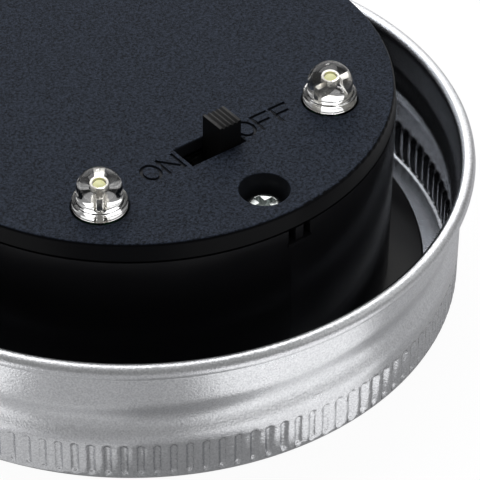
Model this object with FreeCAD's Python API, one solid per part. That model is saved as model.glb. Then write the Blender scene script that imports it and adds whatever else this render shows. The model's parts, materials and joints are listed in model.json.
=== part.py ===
"""Solar lid light for a mason jar lantern, lying lamps up on its screw band.

Millimetres. +Z is up, the origin lies on the axis at the underside of the band's lip,
and X runs along the row of the two lamps and the switch. On a jar it hangs the other way up.
"""
import FreeCAD, Part
import math
import os

os.makedirs("parts", exist_ok=True)

# Rechargeable cell and its two contacts
cell_length = 44.5
cell_radius = 5.25
cell_sleeve = 0.15
cell_nub_radius = 1.9
cell_nub_length = 0.8
cell_row = 4.0
cell_lift = 0.8
contact_sheet = 0.4
contact_width = 8.0
contact_height = 11.0
contact_tab_width = 3.0
contact_tab_height = 4.0
leaf_room = 3.5
leaf_width = 5.0
leaf_tip = 1.25
holder_margin = 0.9
holder_lip = 0.8
saddle_width = 1.6
saddle_spacing = 24.0
saddle_drop = 1.75

# Housing cup
housing_wall = 1.5
housing_height = 23.0
floor_web = 1.1
flange_margin = 2.5
flange_thickness = 1.25
notch_width = 0.9
notch_depth = 1.6
notch_spacing = 1.92
notch_place = 0.3
notch_sill_length = 3.0
notch_sill_height = 0.45
notch_sill_reach = 0.25
wire_hole_radius = 1.6
wire_hole_inset = 7.0

# Screw band, rolled from thin sheet for a 70 mm jar mouth
sheet = 0.45
neck_gap = 6.4
band_height = 16.6
lip_width = 5.85
corner_radius = 1.2
curl_radius = 0.85
curl_end_angle = -100.0
thread_pitch = 6.35
thread_width = 4.0
thread_depth = 0.8
thread_start_height = 7.3
thread_start_angle = -178.2
thread_turn = 288.0
thread_spans = 4
thread_run_out = 11.0
knurl_pitch = 1.7
knurl_width = 0.95
knurl_depth = 0.2
knurl_low = 0.85
knurl_length = 4.3

# Cover
cover_thickness = 2.2
cover_draft = 0.2
cover_edge_fillet = 0.35
parting_height = 0.25
parting_depth = 0.4
plug_wall = 1.2
letter_height = 2.35
letter_width = 1.9
letter_arm = 1.5
letter_stroke = 0.34
letter_depth = 0.25
letter_pitch = 2.5
on_first_letter = -7.6
off_first_letter = 4.6

# Middle of the row that lamps, switch and screws stand on, and the lamps
row_middle = -0.55
lamp_spacing = 29.8
lamp_row = -15.45
left_lamp_turn = 55.0
right_lamp_turn = 0.0
lamp_flange_radius = 2.87
lamp_flange_height = 1.0
lamp_dome_radius = 2.4
lamp_height = 4.5
lamp_hole_clearance = 0.12
lead_width = 0.5
lead_pitch = 2.54
lead_knee = 1.1
post_height = 2.1
post_tip = 0.85
anvil_tip = 0.4
cup_radius = 0.68
cup_height = 2.2
phosphor_radius = 0.52
phosphor_height = 0.35

# Slide switch
switch_row = -14.2
switch_length = 9.0
switch_width = 4.4
switch_height = 3.4
switch_sheet = 0.3
switch_base_height = 0.8
switch_travel = 3.0
knob_length = 2.75
knob_width = 3.0
knob_height = 2.9
knob_ridge_count = 5
knob_ridge_depth = 0.22
carriage_length = 5.2
carriage_height = 1.0
slot_end_room = 0.6
slot_side_room = 0.15
slot_plate = 1.35
terminal_pitch = 3.0
terminal_width = 1.2
terminal_pin = 0.6
pad_height = 0.1
bridge_sheet = 0.35

# Circuit board and what stands on it
board_thickness = 1.2
board_drop = 3.5
board_end_room = 2.7
board_front = -19.0
board_back = -6.6
board_post_radius = 2.0
board_post_spacing = 19.0
board_post_row = -9.3
pin_length = 1.0
chip_length = 5.2
chip_width = 3.6
chip_height = 1.8
chip_chamfer = 0.35
chip_place = -3.4
chip_row = -8.8
chip_lead_count = 4
chip_lead_pitch = 1.27
chip_lead_width = 0.45
coil_length = 5.4
coil_radius = 1.45
coil_waist = 1.15
coil_end = 1.1
coil_place = 3.6
coil_row = -9.2
coil_lead_radius = 0.25
coil_lead_reach = 0.8
stand_off = 0.2

# Screws
screw_inset = 3.25
screw_well_radius = 2.62
screw_well_wall = 1.0
screw_sink = 1.85
screw_head_radius = 2.1
screw_head_height = 1.5
screw_head_crown = 0.8
screw_radius = 1.1
screw_length = 8.0
screw_seat = 1.2
boss_wall = 1.5
board_screw_head_radius = 1.7
board_screw_head_height = 1.2
board_screw_radius = 0.8
board_screw_grip = 3.2
recess_width = 0.65
recess_length = 2.6
recess_depth = 1.0

# Solar panel on the far side
panel_side = 38.0
panel_window = 0.85
panel_cell = 0.2
panel_board = 1.0
panel_inset = 0.2
panel_strip_count = 4
panel_strip_gap = 0.5
panel_border = 1.0

# Wires, and the bends of each run as sideways, back and upward places
wire_radius = 0.5
wire_bend_share = 0.45
panel_wire_rise = 4.0
panel_wire_loop = (4.1, -9.0, 9.0)
panel_wire_dive = (7.1, -13.5)
panel_wire_end = (8.1, -17.5)
cell_wire_drop = 1.0
cell_wire_crest = (0.6, 1.0, 0.4)
cell_wire_loop = (4.0, 7.0, 0.6)
cell_wire_dive = (16.2, -9.0)
cell_wire_end = (15.4, -12.0)

# Clearances
turn_clearance = 0.3
seat_gap = 0.05
fit_clearance = 0.2
slide_clearance = 0.1
hole_clearance = 0.1

# Sizes that follow from the ones above
contact_span = (cell_length + leaf_room) / 2
holder_corner = math.hypot(contact_span + contact_sheet, cell_row + contact_width / 2)
housing_inner = holder_corner + holder_margin
housing_radius = housing_inner + housing_wall
thread_inner = housing_radius + neck_gap
band_wall = thread_inner + thread_depth + sheet
band_inner = band_wall - sheet
lip_opening = band_wall - lip_width
flange_radius = band_wall - corner_radius - flange_margin
platform_radius = lip_opening - turn_clearance
platform_bottom = seat_gap
flange_bottom = sheet + seat_gap
flange_top = flange_bottom + flange_thickness
panel_bottom = platform_bottom + panel_inset
panel_top = panel_bottom + panel_window + panel_cell + panel_board
floor_bottom = panel_top + seat_gap
floor_top = floor_bottom + floor_web
cell_height = floor_top + cell_lift + cell_radius
cover_top = housing_height + cover_thickness
plug_radius = housing_inner - fit_clearance
board_top = housing_height - board_drop
board_bottom = board_top - board_thickness
pin_end = board_bottom - pin_length
lamp_hole = lamp_flange_radius + lamp_hole_clearance
screw_row = housing_inner - screw_inset
wire_hole_row = wire_hole_inset - panel_side / 2
screw_head_seat = cover_top - screw_sink - screw_head_height
boss_top = screw_head_seat - screw_seat
plug_low = boss_top + seat_gap
boss_radius = screw_radius + boss_wall
knob_top = cover_top + knob_height
knob_off = row_middle + switch_travel / 2
slot_length = switch_travel + knob_length + 2 * slot_end_room
slot_width = knob_width + 2 * slot_side_room
switch_top = board_top + switch_height
lamp_places = (("left", row_middle - lamp_spacing / 2, left_lamp_turn),
               ("right", row_middle + lamp_spacing / 2, right_lamp_turn))
both_sides = (-1, 1)


def vector(x, y, z):
    return FreeCAD.Vector(x, y, z)


def block(x0, x1, y0, y1, z0, z1):
    return Part.makeBox(x1 - x0, y1 - y0, z1 - z0, vector(x0, y0, z0))


def centred_block(x, y, length, width, z0, z1):
    return block(x - length / 2, x + length / 2, y - width / 2, y + width / 2, z0, z1)


def disc(radius, z0, z1, x=0.0, y=0.0):
    return Part.makeCylinder(radius, z1 - z0, vector(x, y, z0))


def ring(outer, inner, z0, z1, x=0.0, y=0.0):
    return disc(outer, z0, z1, x, y).cut(disc(inner, z0, z1, x, y))


def spun(edges):
    """Turn a closed outline in the XZ plane into a solid about Z."""
    face = Part.Face(Part.Wire(edges))
    return face.revolve(vector(0, 0, 0), vector(0, 0, 1), 360)


def line(start, end):
    return Part.LineSegment(vector(start[0], 0, start[1]), vector(end[0], 0, end[1])).toShape()


def arc(centre, radius, first, middle, last):
    """Arc in the XZ plane through three angles in degrees about a centre."""
    points = []
    for angle in (first, middle, last):
        turn = math.radians(angle)
        x = centre[0] + radius * math.cos(turn)
        points.append(vector(x, 0, centre[1] + radius * math.sin(turn)))
    return Part.Arc(*points).toShape()


def at_angle(centre, radius, angle):
    turn = math.radians(angle)
    return (centre[0] + radius * math.cos(turn), centre[1] + radius * math.sin(turn))


def joined(solids):
    """Fuse touching solids into one."""
    return solids[0].multiFuse(solids[1:]).removeSplitter()


def tube_along(points, radius):
    """Round wire along straight runs with an arc at each inner point."""
    corners = [vector(*point) for point in points]
    edges = []
    start = corners[0]
    for before, corner, after in zip(corners, corners[1:], corners[2:]):
        back = (before - corner).normalize()
        ahead = (after - corner).normalize()
        reach = wire_bend_share * min((before - corner).Length, (after - corner).Length)
        turn = math.pi - back.getAngle(ahead)
        bend = reach / math.tan(turn / 2)
        first = corner + back * reach
        last = corner + ahead * reach
        to_centre = (back + ahead).normalize()
        depth = math.hypot(reach, bend) - bend
        edges.append(Part.LineSegment(start, first).toShape())
        edges.append(Part.Arc(first, corner + to_centre * depth, last).toShape())
        start = last
    edges.append(Part.LineSegment(start, corners[-1]).toShape())
    path = Part.Wire(edges)
    section = Part.Wire(Part.makeCircle(radius, corners[0], corners[1] - corners[0]))
    return path.makePipeShell([section], True, False)


def thread_point(angle, radius):
    """Point of the thread's helix at an angle in radians from its start."""
    turn = angle + math.radians(thread_start_angle)
    height = thread_start_height + thread_pitch * angle / (2 * math.pi)
    return vector(radius * math.cos(turn), radius * math.sin(turn), height)


def thread_direction(angle, radius):
    turn = angle + math.radians(thread_start_angle)
    climb = thread_pitch / (2 * math.pi)
    return vector(-radius * math.sin(turn), radius * math.cos(turn), climb).normalize()


def arc_leaving(start, direction, end):
    """Arc that leaves its start along a direction and passes through its end."""
    chord = end - start
    inward = direction.cross(chord).cross(direction).normalize()
    radius = chord.Length ** 2 / (2 * chord.dot(inward))
    centre = start + inward * radius
    to_middle = ((start + end) * 0.5 - centre).normalize()
    return Part.Arc(start, centre + to_middle * radius, end).toShape()


def thread_path(radius):
    """Helix as pairs of arcs that meet smoothly, with a straight run-out at each end."""
    span = math.radians(thread_turn) / thread_spans
    half = span / 2
    climb = thread_pitch / (2 * math.pi)
    lift = climb * climb * half
    side = radius * math.sin(half)
    under_root = 2 * lift * radius * math.cos(half) + side * (radius ** 2 + (climb * half) ** 2)
    joint_radius = (math.sqrt(lift ** 2 + side * under_root) - lift) / side
    start = thread_point(0, radius)
    edges = [Part.LineSegment(start - thread_direction(0, radius) * thread_run_out, start).toShape()]
    for index in range(thread_spans):
        first = index * span
        last = first + span
        joint = thread_point(first + half, joint_radius)
        edges.append(arc_leaving(thread_point(first, radius), thread_direction(first, radius), joint))
        edges.append(arc_leaving(thread_point(last, radius), -thread_direction(last, radius), joint))
    turn = span * thread_spans
    end = thread_point(turn, radius)
    edges.append(Part.LineSegment(end, end + thread_direction(turn, radius) * thread_run_out).toShape())
    return Part.Wire(edges)


def thread_roll(extra):
    """Round roll that presses the thread into the band, thicker by an extra radius."""
    tool = (thread_width ** 2 / 4 + thread_depth ** 2) / (2 * thread_depth)
    reach = band_wall - thread_depth + tool
    path = thread_path(reach)
    start = path.Edges[0].Vertexes[0].Point
    section = Part.Wire(Part.makeCircle(tool + extra, start, thread_direction(0, reach)))
    return path.makePipeShell([section], True, False)


def knurl_cutters():
    """Upright round-ended cutters for the grip flutes."""
    tool = (knurl_width ** 2 / 4 + knurl_depth ** 2) / (2 * knurl_depth)
    reach = band_wall - knurl_depth + tool
    low = knurl_low + knurl_width / 2
    high = knurl_low + knurl_length - knurl_width / 2
    outline = [
        line((0, low - tool), (0, high + tool)),
        arc((0, high), tool, 90, 45, 0),
        line((tool, high), (tool, low)),
        arc((0, low), tool, 0, -45, -90),
    ]
    cutter = spun(outline)
    count = round(2 * math.pi * band_wall / knurl_pitch)
    cutters = []
    for index in range(count):
        turn = 2 * math.pi * index / count
        copy = cutter.copy()
        copy.translate(vector(reach * math.cos(turn), reach * math.sin(turn), 0))
        cutters.append(copy)
    return cutters


def screw_band():
    curl = (band_inner + curl_radius, band_height - curl_radius)
    curl_hollow = curl_radius - sheet
    corner = (band_wall - corner_radius, corner_radius)
    corner_inner = corner_radius - sheet
    curl_middle = (180 + curl_end_angle) / 2
    outline = [
        line((lip_opening, 0), (corner[0], 0)),
        arc(corner, corner_radius, -90, -45, 0),
        line((band_wall, corner[1]), (band_wall, curl[1])),
        arc(curl, curl_hollow, 180, curl_middle, curl_end_angle),
        line(at_angle(curl, curl_hollow, curl_end_angle), at_angle(curl, curl_radius, curl_end_angle)),
        arc(curl, curl_radius, curl_end_angle, curl_middle, 180),
        line((band_inner, curl[1]), (band_inner, corner[1])),
        arc(corner, corner_inner, 0, -45, -90),
        line((corner[0], sheet), (lip_opening, sheet)),
        line((lip_opening, sheet), (lip_opening, 0)),
    ]
    band = spun(outline)
    core = disc(band_wall - sheet / 2, 0, band_height)
    band = band.fuse(thread_roll(sheet).common(core)).cut(thread_roll(0.0))
    return band.cut(Part.makeCompound(knurl_cutters()))


def screw_boss(side):
    """Boss for a cover screw, tied to the cup's wall by a rib."""
    y = side * screw_row
    boss = disc(boss_radius, floor_bottom, boss_top, row_middle, y)
    rib_end = side * (housing_inner + housing_wall / 2)
    rib = block(row_middle - boss_wall, row_middle + boss_wall, min(y, rib_end), max(y, rib_end),
                floor_bottom, boss_top)
    return boss.fuse(rib)


def contact_holder(side):
    """Block at one end of the cell, with a slot for a contact plate and a window to the cell."""
    face = contact_span - holder_lip
    width = contact_width + 2 * holder_lip
    top = floor_top + contact_height
    solid = block(face, housing_radius, cell_row - width / 2, cell_row + width / 2, floor_bottom, top)
    slot = block(contact_span - slide_clearance, contact_span + contact_sheet,
                 cell_row - contact_width / 2 - slide_clearance,
                 cell_row + contact_width / 2 + slide_clearance, floor_top, top)
    window_width = contact_width - 2 * holder_lip
    window = block(face, contact_span, cell_row - window_width / 2, cell_row + window_width / 2,
                   floor_top, top)
    room = Part.makeCylinder(cell_radius + fit_clearance, contact_span, vector(0, cell_row, cell_height),
                             vector(1, 0, 0))
    holder = solid.cut(slot).cut(window).cut(room).common(disc(housing_inner + housing_wall / 2, 0, top))
    if side < 0:
        holder = holder.mirror(vector(0, 0, 0), vector(1, 0, 0))
    return holder


def cell_saddle(x):
    half = cell_radius + saddle_width
    saddle = block(x - saddle_width / 2, x + saddle_width / 2, cell_row - half, cell_row + half,
                   floor_bottom, cell_height - saddle_drop)
    room = Part.makeCylinder(cell_radius + slide_clearance, 2 * saddle_width,
                             vector(x - saddle_width, cell_row, cell_height), vector(1, 0, 0))
    return saddle.cut(room)


def housing():
    platform = disc(platform_radius, platform_bottom, flange_bottom)
    flange = disc(flange_radius, flange_bottom, flange_top)
    floor = disc(housing_radius, flange_bottom, floor_top)
    wall = ring(housing_radius, housing_inner, floor_bottom, housing_height)
    notch_low = housing_height - notch_depth
    sill = block(notch_place - notch_sill_length / 2, notch_place + notch_sill_length / 2,
                 -housing_radius - notch_sill_reach, -housing_inner, notch_low - notch_sill_height, notch_low)
    solids = [platform, flange, floor, wall, sill]
    for side in both_sides:
        solids.append(screw_boss(side))
        solids.append(contact_holder(side))
        solids.append(cell_saddle(side * saddle_spacing / 2))
    cup = joined(solids)
    recess = panel_side + 2 * fit_clearance
    cup = cup.cut(centred_block(0, 0, recess, recess, 0, floor_bottom))
    cup = cup.cut(disc(wire_hole_radius, floor_bottom, floor_top, 0, wire_hole_row))
    for side in both_sides:
        pilot = disc(screw_radius + seat_gap, boss_top - screw_length, boss_top, row_middle, side * screw_row)
        cup = cup.cut(pilot)
        notch = centred_block(notch_place + side * notch_spacing / 2, -housing_inner, notch_width,
                              3 * housing_wall, notch_low, housing_height)
        cup = cup.cut(notch)
    return cup


def letter_bar(x0, y0, x1, y1):
    """Straight engraved stroke between two points on the cover's face."""
    length = math.hypot(x1 - x0, y1 - y0)
    half = letter_stroke / 2
    bar = block(-half, length + half, -half, half, cover_top - letter_depth, cover_top)
    bar.rotate(vector(0, 0, 0), vector(0, 0, 1), math.degrees(math.atan2(y1 - y0, x1 - x0)))
    bar.translate(vector(x0, y0, 0))
    return bar


def letter_loop(x):
    """Engraved letter O, a narrow oval."""
    rings = []
    for inset in (-letter_stroke / 2, letter_stroke / 2):
        tall = letter_height / 2 - inset
        wide = letter_width / 2 - inset
        oval = Part.Ellipse(vector(0, 0, 0), tall, wide).toShape()
        face = Part.Face(Part.Wire(oval))
        face.rotate(vector(0, 0, 0), vector(0, 0, 1), 90)
        face.translate(vector(x, switch_row, cover_top - letter_depth))
        rings.append(face.extrude(vector(0, 0, letter_depth)))
    return rings[0].cut(rings[1])


def lettering():
    low = switch_row - letter_height / 2
    high = switch_row + letter_height / 2
    half = letter_width / 2
    on_o = row_middle + on_first_letter
    on_n = on_o + letter_pitch
    off_o = row_middle + off_first_letter
    strokes = [letter_loop(on_o), letter_loop(off_o)]
    strokes.append(letter_bar(on_n - half, low, on_n - half, high))
    strokes.append(letter_bar(on_n - half, high, on_n + half, low))
    strokes.append(letter_bar(on_n + half, low, on_n + half, high))
    for place in (1, 2):
        stem = off_o + place * letter_pitch - half
        strokes.append(letter_bar(stem, low, stem, high))
        strokes.append(letter_bar(stem, high, stem + letter_width, high))
        strokes.append(letter_bar(stem, switch_row, stem + letter_arm, switch_row))
    return strokes


def cover():
    top_radius = housing_radius - cover_draft
    groove_radius = housing_radius - parting_depth
    rim_low = housing_height + parting_height
    edge = (top_radius - cover_edge_fillet, cover_top - cover_edge_fillet)
    outline = [
        line((0, housing_height), (groove_radius, housing_height)),
        line((groove_radius, housing_height), (groove_radius, rim_low)),
        line((groove_radius, rim_low), (housing_radius, rim_low)),
        line((housing_radius, rim_low), (top_radius, edge[1])),
        arc(edge, cover_edge_fillet, 0, 45, 90),
        line((edge[0], cover_top), (0, cover_top)),
        line((0, cover_top), (0, housing_height)),
    ]
    solids = [spun(outline)]
    solids.append(ring(plug_radius, plug_radius - plug_wall, plug_low, housing_height))
    inside = disc(plug_radius, 0, cover_top)
    for side in both_sides:
        well = disc(screw_well_radius + screw_well_wall, boss_top, housing_height,
                    row_middle, side * screw_row)
        solids.append(well.common(inside))
        solids.append(disc(board_post_radius, board_top, housing_height,
                           side * board_post_spacing / 2, board_post_row))
    lid = joined(solids)
    for side in both_sides:
        y = side * screw_row
        lid = lid.cut(disc(screw_well_radius, screw_head_seat, cover_top, row_middle, y))
        lid = lid.cut(disc(screw_radius + fit_clearance, boss_top, screw_head_seat, row_middle, y))
        lid = lid.cut(disc(board_screw_radius + seat_gap, board_top, board_top + board_screw_grip,
                           side * board_post_spacing / 2, board_post_row))
    for name, x, turn in lamp_places:
        lid = lid.cut(disc(lamp_hole, plug_low, cover_top, x, lamp_row))
    lid = lid.cut(centred_block(row_middle, switch_row, slot_length, slot_width, housing_height, cover_top))
    lid = lid.cut(centred_block(row_middle, switch_row, switch_length + 2 * fit_clearance,
                                switch_width + 2 * fit_clearance, housing_height, cover_top - slot_plate))
    return lid.cut(Part.makeCompound(lettering()))


def lead_plate(x, outline):
    """Flat piece of a lamp's lead frame, from its outline in places along the row and heights."""
    points = [vector(x + place, lamp_row - lead_width / 2, height) for place, height in outline]
    return Part.Face(Part.makePolygon(points + points[:1])).extrude(vector(0, lead_width, 0))


def lamp_lead_solids(x, turn):
    """A lamp's two leads, turned about its axis: a plain post, and an anvil with the reflector cup."""
    inner = (lead_pitch - lead_width) / 2
    outer = (lead_pitch + lead_width) / 2
    knee = cover_top + lead_knee
    post_top = cover_top + post_height
    anvil_top = cover_top + cup_height
    post = lead_plate(x, [(inner, pin_end), (outer, pin_end), (outer, post_top), (post_tip, post_top),
                          (post_tip, post_top - lead_width), (inner, knee)])
    anvil = lead_plate(x, [(-outer, pin_end), (-inner, pin_end), (-inner, knee),
                           (anvil_tip, anvil_top - lead_width), (anvil_tip, anvil_top), (-outer, anvil_top)])
    cup = disc(cup_radius, anvil_top, anvil_top + lead_width, x, lamp_row)
    hollow = disc(phosphor_radius, anvil_top + lead_width / 2, anvil_top + lead_width, x, lamp_row)
    leads = [post, joined([anvil, cup]).cut(hollow)]
    for lead in leads:
        lead.rotate(vector(x, lamp_row, 0), vector(0, 0, 1), turn)
    return leads


def lamp_phosphor(x):
    low = cover_top + cup_height + lead_width / 2
    return disc(phosphor_radius - seat_gap, low, low + phosphor_height, x, lamp_row)


def lamp_lens(x, turn):
    dome_centre = (0, cover_top + lamp_height - lamp_dome_radius)
    shoulder = cover_top + lamp_flange_height
    outline = [
        line((0, cover_top), (lamp_flange_radius, cover_top)),
        line((lamp_flange_radius, cover_top), (lamp_flange_radius, shoulder)),
        line((lamp_flange_radius, shoulder), (lamp_dome_radius, shoulder)),
        line((lamp_dome_radius, shoulder), (lamp_dome_radius, dome_centre[1])),
        arc(dome_centre, lamp_dome_radius, 0, 45, 90),
        line((0, cover_top + lamp_height), (0, cover_top)),
    ]
    lens = spun(outline)
    lens.translate(vector(x, lamp_row, 0))
    low = cover_top + cup_height
    lens = lens.cut(disc(cup_radius + seat_gap, low, low + lead_width + phosphor_height, x, lamp_row))
    for lead in lamp_lead_solids(x, turn):
        lens = lens.cut(lead)
    return lens


def switch_case():
    outer = centred_block(row_middle, switch_row, switch_length, switch_width, board_top, switch_top)
    inner = centred_block(row_middle, switch_row, switch_length - 2 * switch_sheet,
                          switch_width - 2 * switch_sheet, board_top, switch_top - switch_sheet)
    window = centred_block(row_middle, switch_row, switch_travel + knob_length + 2 * slide_clearance,
                           knob_width + 2 * slide_clearance, switch_top - switch_sheet, switch_top)
    return outer.cut(inner).cut(window)


def terminal_solids():
    """Three pads on the switch base, each with a pin through the board."""
    solids = []
    base_top = board_top + switch_base_height
    for index in (-1, 0, 1):
        x = row_middle + index * terminal_pitch
        pad = centred_block(x, switch_row, terminal_width, terminal_width, base_top, base_top + pad_height)
        pin = centred_block(x, switch_row, terminal_pin, terminal_pin, pin_end, base_top)
        solids.append(pad.fuse(pin))
    return solids


def switch_base():
    base = centred_block(row_middle, switch_row, switch_length - 2 * switch_sheet - slide_clearance,
                         switch_width - 2 * switch_sheet - slide_clearance,
                         board_top, board_top + switch_base_height)
    for terminal in terminal_solids():
        base = base.cut(terminal)
    return base


def switch_contact():
    """Bent strip under the knob that bridges two pads."""
    low = board_top + switch_base_height + pad_height + seat_gap
    high = switch_top - switch_sheet - slide_clearance - carriage_height
    width = terminal_width
    strip = centred_block(knob_off, switch_row, terminal_pitch + width, width, high - bridge_sheet, high)
    feet = []
    for side in both_sides:
        x = knob_off + side * terminal_pitch / 2
        feet.append(centred_block(x, switch_row, width / 2, width, low, high - bridge_sheet))
    return joined([strip] + feet)


def switch_knob():
    high = switch_top - switch_sheet - slide_clearance
    carriage = centred_block(knob_off, switch_row, carriage_length,
                             switch_width - 2 * switch_sheet - 2 * slide_clearance,
                             high - carriage_height, high)
    stem = centred_block(knob_off, switch_row, knob_length, knob_width, high, knob_top)
    knob = joined([carriage, stem])
    pitch = knob_length / knob_ridge_count
    for index in range(1, knob_ridge_count):
        x = knob_off - knob_length / 2 + index * pitch
        groove = block(-knob_ridge_depth, knob_ridge_depth, -knob_width, knob_width,
                       -knob_ridge_depth, knob_ridge_depth)
        groove.rotate(vector(0, 0, 0), vector(0, 1, 0), 45)
        groove.translate(vector(x, switch_row, knob_top + knob_ridge_depth * (math.sqrt(2) - 1)))
        knob = knob.cut(groove)
    return knob


def chip_lead_solids():
    """Bent leads from the chip's side down through the board."""
    solids = []
    side = chip_row - chip_width / 2
    middle = board_top + stand_off + chip_height / 2
    half = chip_lead_width / 2
    for index in range(chip_lead_count):
        x = chip_place + (index - (chip_lead_count - 1) / 2) * chip_lead_pitch
        arm = block(x - half, x + half, side - 2 * chip_lead_width, side, middle - half, middle + half)
        leg = block(x - half, x + half, side - 2 * chip_lead_width, side - chip_lead_width,
                    pin_end, middle + half)
        solids.append(arm.fuse(leg).removeSplitter())
    return solids


def driver_chip():
    low = board_top + stand_off
    body = centred_block(chip_place, chip_row, chip_length, chip_width, low, low + chip_height)
    upper = [edge for edge in body.Edges if edge.BoundBox.ZMin > low + chip_height / 2]
    return body.makeChamfer(chip_chamfer, upper)


def coil_lead_solids():
    """Two round leads that leave the coil's ends and turn down through the board."""
    solids = []
    middle = board_top + stand_off + coil_radius
    for side in both_sides:
        start = coil_place + side * coil_length / 2
        turn = start + side * coil_lead_reach
        points = [(start, coil_row, middle), (turn, coil_row, middle), (turn, coil_row, pin_end)]
        solids.append(tube_along(points, coil_lead_radius))
    return solids


def coil_body():
    """Dumb-bell body of the inductor, lying along X."""
    half = coil_length / 2
    profile = [(-half, 0), (-half, coil_radius), (coil_end - half, coil_radius),
               (2 * coil_end - half, coil_waist), (half - 2 * coil_end, coil_waist),
               (half - coil_end, coil_radius), (half, coil_radius), (half, 0)]
    points = [vector(x, radius, 0) for x, radius in profile]
    face = Part.Face(Part.makePolygon(points + points[:1]))
    body = face.revolve(vector(0, 0, 0), vector(1, 0, 0), 360)
    body.translate(vector(coil_place, coil_row, board_top + stand_off + coil_radius))
    return body


def board_pins():
    """Every pin and lead that goes through the circuit board."""
    pins = terminal_solids() + chip_lead_solids() + coil_lead_solids()
    for name, x, turn in lamp_places:
        pins = pins + lamp_lead_solids(x, turn)
    return pins


def circuit_board():
    half = lamp_spacing / 2 + board_end_room
    left = row_middle - half
    right = row_middle + half
    board = block(left, right, board_front, board_back, board_bottom, board_top)
    board = board.common(disc(housing_inner - fit_clearance, board_bottom, board_top))
    for pin in board_pins():
        box = pin.common(block(left, right, board_front, board_back, pin_end, board_bottom)).BoundBox
        board = board.cut(block(box.XMin - hole_clearance, box.XMax + hole_clearance,
                                box.YMin - hole_clearance, box.YMax + hole_clearance,
                                board_bottom, board_top))
    for side in both_sides:
        hole = disc(board_screw_radius + hole_clearance, board_bottom, board_top,
                    side * board_post_spacing / 2, board_post_row)
        board = board.cut(hole)
    return board


def cross_recess(z, x, y):
    """Cross that is cut into a screw head, with its upper end at height z."""
    low = z - recess_depth
    first = centred_block(x, y, recess_length, recess_width, low, z)
    return first.fuse(centred_block(x, y, recess_width, recess_length, low, z))


def cover_screw(side):
    y = side * screw_row
    top = screw_head_seat + screw_head_height
    head = disc(screw_head_radius, screw_head_seat, top, row_middle, y)
    crown = [edge for edge in head.Edges if edge.BoundBox.ZMin > top - screw_head_height / 2]
    head = head.makeFillet(screw_head_crown, crown)
    shank = disc(screw_radius, screw_head_seat - screw_length, screw_head_seat, row_middle, y)
    return joined([head, shank]).cut(cross_recess(top, row_middle, y))


def board_screw(side):
    x = side * board_post_spacing / 2
    bottom = board_bottom - board_screw_head_height
    head = disc(board_screw_head_radius, bottom, board_bottom, x, board_post_row)
    shank = disc(board_screw_radius, board_bottom, board_top + board_screw_grip - slide_clearance,
                 x, board_post_row)
    return joined([head, shank]).cut(cross_recess(bottom + recess_depth, x, board_post_row))


def along_cell(radius, start, end):
    return Part.makeCylinder(radius, end - start, vector(start, cell_row, cell_height), vector(1, 0, 0))


def cell_can():
    shoulder = contact_span - cell_nub_length
    body = along_cell(cell_radius - cell_sleeve - seat_gap, contact_span - cell_length, shoulder)
    nub = along_cell(cell_nub_radius, shoulder - seat_gap, contact_span - slide_clearance)
    return joined([body, nub])


def cell_shrink_sleeve():
    shoulder = contact_span - cell_nub_length
    tail = contact_span - cell_length + cell_sleeve
    tube = along_cell(cell_radius, tail, shoulder)
    return tube.cut(along_cell(cell_radius - cell_sleeve, tail, shoulder))


def contact_plate(side):
    """Spring-metal plate in its holder, with a solder tab that stands above the holder."""
    inner = contact_span
    top = floor_top + contact_height
    plate = block(inner, inner + contact_sheet, cell_row - contact_width / 2, cell_row + contact_width / 2,
                  floor_top, top)
    tab = block(inner, inner + contact_sheet, cell_row - contact_tab_width / 2,
                cell_row + contact_tab_width / 2, top, top + contact_tab_height)
    solid = joined([plate, tab])
    if side < 0:
        solid = solid.mirror(vector(0, 0, 0), vector(1, 0, 0))
    return solid


def minus_contact():
    """Contact plate with a folded leaf that pushes the cell."""
    root = -contact_span
    tip = contact_span - cell_length - slide_clearance
    low = cell_height - leaf_width / 2
    high = cell_height + leaf_width / 2
    tip_low = cell_height - leaf_tip / 2
    tip_high = cell_height + leaf_tip / 2
    outer = [(root, low), (tip, tip_low), (tip, tip_high), (root, high)]
    points = [vector(x, cell_row - leaf_width / 2, z) for x, z in outer]
    bow = Part.Face(Part.makePolygon(points + points[:1])).extrude(vector(0, leaf_width, 0))
    inner = [(root, low + contact_sheet), (tip - contact_sheet, tip_low),
             (tip - contact_sheet, tip_high), (root, high - contact_sheet)]
    points = [vector(x, cell_row - leaf_width / 2, z) for x, z in inner]
    hollow = Part.Face(Part.makePolygon(points + points[:1])).extrude(vector(0, leaf_width, 0))
    return joined([contact_plate(-1), bow.cut(hollow)])


def panel_strips():
    strips = []
    room = panel_side - 2 * panel_border
    width = (room - (panel_strip_count - 1) * panel_strip_gap) / panel_strip_count
    low = panel_bottom + panel_window
    for index in range(panel_strip_count):
        y = -room / 2 + width / 2 + index * (width + panel_strip_gap)
        strips.append(centred_block(0, y, room, width, low, low + panel_cell))
    return strips


def panel_wire(side):
    """Wire from the solar panel's back, up through the floor, to the board's underside."""
    x = side * (wire_radius + slide_clearance)
    under = board_bottom - wire_radius
    points = [(x, wire_hole_row, panel_top), (x, wire_hole_row, floor_top + panel_wire_rise),
              (side * panel_wire_loop[0], panel_wire_loop[1], floor_top + panel_wire_loop[2]),
              (side * panel_wire_dive[0], panel_wire_dive[1], under),
              (side * panel_wire_end[0], panel_wire_end[1], under)]
    return tube_along(points, wire_radius)


def cell_wire(side):
    """Wire from a cell contact's tab to the board's underside."""
    x = side * (contact_span - wire_radius)
    tab = floor_top + contact_height + contact_tab_height / 2
    under = board_bottom - wire_radius
    crest = cell_wire_crest
    loop = cell_wire_loop
    points = [(x, cell_row, tab - cell_wire_drop),
              (x - side * crest[0], cell_row - crest[1], under - crest[2]),
              (x - side * loop[0], cell_row - loop[1], under - loop[2]),
              (side * cell_wire_dive[0], cell_wire_dive[1], under),
              (side * cell_wire_end[0], cell_wire_end[1], under)]
    return tube_along(points, wire_radius)


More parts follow.
